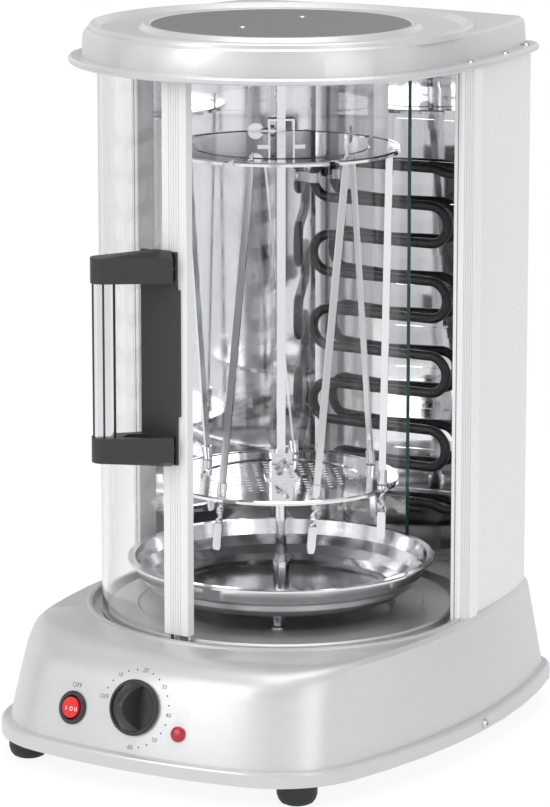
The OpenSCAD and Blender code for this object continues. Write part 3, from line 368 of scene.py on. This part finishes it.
dial = [("OFF", DIAL_OFF_DEG)]
dial += [(str(10 * k), DIAL_TEN_DEG + DIAL_STEP_DEG * (k - 1)) for k in range(1, 7)]
for words, deg in dial:
    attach(printed("dial_" + words, text_mesh(words, DIAL_TEXT), "base_shell", on_dial(deg),
                    PRINT), "housing")
for (_, d0), (_, d1) in zip(dial, dial[1:]):
    for part in (1 / 3, 2 / 3):
        deg = d0 + (d1 - d0) * part
        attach(printed(f"dot_{deg:.0f}", ring_mesh(DOT_R), "base_shell", on_dial(deg), PRINT),
                "housing")
switch = middle("switch_case")
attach(printed("switch_off", text_mesh("OFF", SWITCH_TEXT), "base_shell",
                switch + UP * SWITCH_UP + RIGHT * SWITCH_RIGHT, PRINT), "housing")
rocker = middle("switch_rocker")
marks = [("mark_one", bar_mesh(0.0006, MARK_H), -MARK_AT),
         ("mark_zero", ring_mesh(0.0015, 0.0010), 0.0),
         ("mark_two", bar_mesh(0.0005, MARK_H, (-0.0007, 0.0007)), MARK_AT)]
for name, mesh, x in marks:
    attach(printed(name, mesh, "switch_rocker", rocker + RIGHT * x, MARK), "rocker")


# ---------- camera, fitted to the round parts in the photograph ----------

FORWARD = Vector((-0.49704, 0.84332, -0.20436))
CAM_RIGHT = Vector((0.86151, 0.50774, 0.0))
CAM_UP = Vector((-0.10372, 0.17608, 0.97890))
CAM_AT = (1.39377, -2.37322 + AXIS_Y, 0.80799)
cam_data = bpy.data.cameras.new("camera")
cam_data.lens = 176.97
cam_data.sensor_width = 36
cam_data.clip_end = 50
cam = bpy.data.objects.new("camera", cam_data)
bpy.context.scene.collection.objects.link(cam)
rot = Matrix((CAM_RIGHT, CAM_UP, -FORWARD)).transposed()
cam.matrix_world = Matrix.Translation(CAM_AT) @ rot.to_4x4()
bpy.context.scene.camera = cam
bpy.context.scene.view_settings.view_transform = "Standard"


# ---------- lamps ----------

LAMP_AIM = Vector((0, 0, 0.25))


def area(name, at, width, height, power):
    data = bpy.data.lights.new(name, "AREA")
    data.shape = "RECTANGLE"
    data.size = width
    data.size_y = height
    data.energy = power
    o = bpy.data.objects.new(name, data)
    o.location = at
    o.rotation_euler = (LAMP_AIM - Vector(at)).to_track_quat("-Z", "Y").to_euler()
    bpy.context.scene.collection.objects.link(o)


area("key", (-0.75, -2.1, 1.5), 1.0, 1.8, 17)
area("fill", (1.9, -0.9, 1.0), 0.8, 1.7, 6)
area("top", (0.1, -0.1, 2.0), 1.4, 1.4, 11)


# ---------- studio: white to the camera, grey flags where metal mirrors it ----------

world = bpy.data.worlds.new("studio")
world.use_nodes = True
bpy.context.scene.world = world
wt = world.node_tree


def sky(color, strength):
    b = add_node(wt, "ShaderNodeBackground")
    if isinstance(color, tuple):
        b.inputs["Color"].default_value = color
    else:
        wt.links.new(color, b.inputs["Color"])
    b.inputs["Strength"].default_value = strength
    return b.outputs[0]


def ramp_of(fac, stops):
    """Colour ramp of (position, grey level) stops."""
    r = add_node(wt, "ShaderNodeValToRGB")
    els = r.color_ramp.elements
    while len(els) < len(stops):
        els.new(0.5)
    for e, (at, level) in zip(els, stops):
        e.position = at
        e.color = (level, level, level * 1.01, 1)
    wt.links.new(fac, r.inputs["Fac"])
    return r.outputs["Color"]


tc = add_node(wt, "ShaderNodeTexCoord")
sep = add_node(wt, "ShaderNodeSeparateXYZ")
wt.links.new(tc.outputs["Generated"], sep.inputs[0])
# azimuth from 0 to 1, once round
azimuth = add_node(wt, "ShaderNodeMapRange")
azimuth.inputs["From Min"].default_value = -math.pi
azimuth.inputs["From Max"].default_value = math.pi
wt.links.new(math_node(wt, "ARCTAN2", sep.outputs["Y"], sep.outputs["X"]),
             azimuth.inputs["Value"])
# height from 0, straight down, to 1, straight up
height = add_node(wt, "ShaderNodeMapRange")
height.inputs["From Min"].default_value = -1
wt.links.new(sep.outputs["Z"], height.inputs["Value"])

FLAGS = [(0.0, 0.85), (0.03, 0.25), (0.07, 0.9), (0.11, 1.0), (0.135, 0.55), (0.15, 1.0),
         (0.19, 1.0), (0.205, 0.6), (0.225, 1.0), (0.30, 1.0), (0.315, 0.5), (0.34, 0.95),
         (0.44, 0.9), (0.47, 0.2), (0.50, 0.9), (0.60, 0.95), (0.66, 0.3), (0.69, 0.9),
         (0.80, 0.9), (0.84, 0.35), (0.87, 0.85), (1.0, 0.85)]
STEEP = [(0.0, 0.4), (0.42, 1.0), (0.68, 1.0), (0.8, 0.35), (0.92, 0.75), (1.0, 0.9)]
SOFT = [(0.0, 0.7), (1.0, 0.95)]
both = add_node(wt, "ShaderNodeMix", data_type="RGBA", blend_type="MULTIPLY")
both.inputs[MIX_FACTOR].default_value = 1.0
wt.links.new(ramp_of(azimuth.outputs[0], FLAGS), both.inputs[MIX_A])
wt.links.new(ramp_of(height.outputs[0], STEEP), both.inputs[MIX_B])
mirror = sky(both.outputs[MIX_RESULT], 1.0)
soft = sky(ramp_of(height.outputs[0], SOFT), 0.85)
white = sky((1, 1, 1, 1), 1.0)
mirrored, direct = ray_switches(wt)
seen = math_node(wt, "SUBTRACT", direct, mirrored, clamp=True)
lit = mix_shaders(wt, mirrored, soft, mirror)
wt.links.new(mix_shaders(wt, seen, lit, white), wt.nodes["World Output"].inputs["Surface"])


# ---------- floor: glows where it is seen, and keeps the part's shadow ----------

GLOW = 1.06
GLOW_SEEN, GLOW_MIRRORED = 0.84, 0.5     # share of the glow in what the ray meets
floor_mesh = bpy.data.meshes.new("floor")
floor_mesh.from_pydata([(-1, -1, 0), (1, -1, 0), (1, 1, 0), (-1, 1, 0)], [], [(0, 1, 2, 3)])
floor = bpy.data.objects.new("floor", floor_mesh)
bpy.context.scene.collection.objects.link(floor)
fm = Mat("floor", (0.9, 0.9, 0.9), 0, 0.7)
fm.vary_color(fm.noise(3), 0.01)
glow = fm.node("ShaderNodeEmission")
glow.inputs["Strength"].default_value = GLOW
mirrored, direct = ray_switches(fm.t)
share = math_node(fm.t, "MAXIMUM", math_node(fm.t, "MULTIPLY", direct, GLOW_SEEN),
                  math_node(fm.t, "MULTIPLY", mirrored, GLOW_MIRRORED))
fm.show(mix_shaders(fm.t, share, fm.p.outputs[0], glow.outputs[0]))
floor_mesh.materials.append(fm.m)
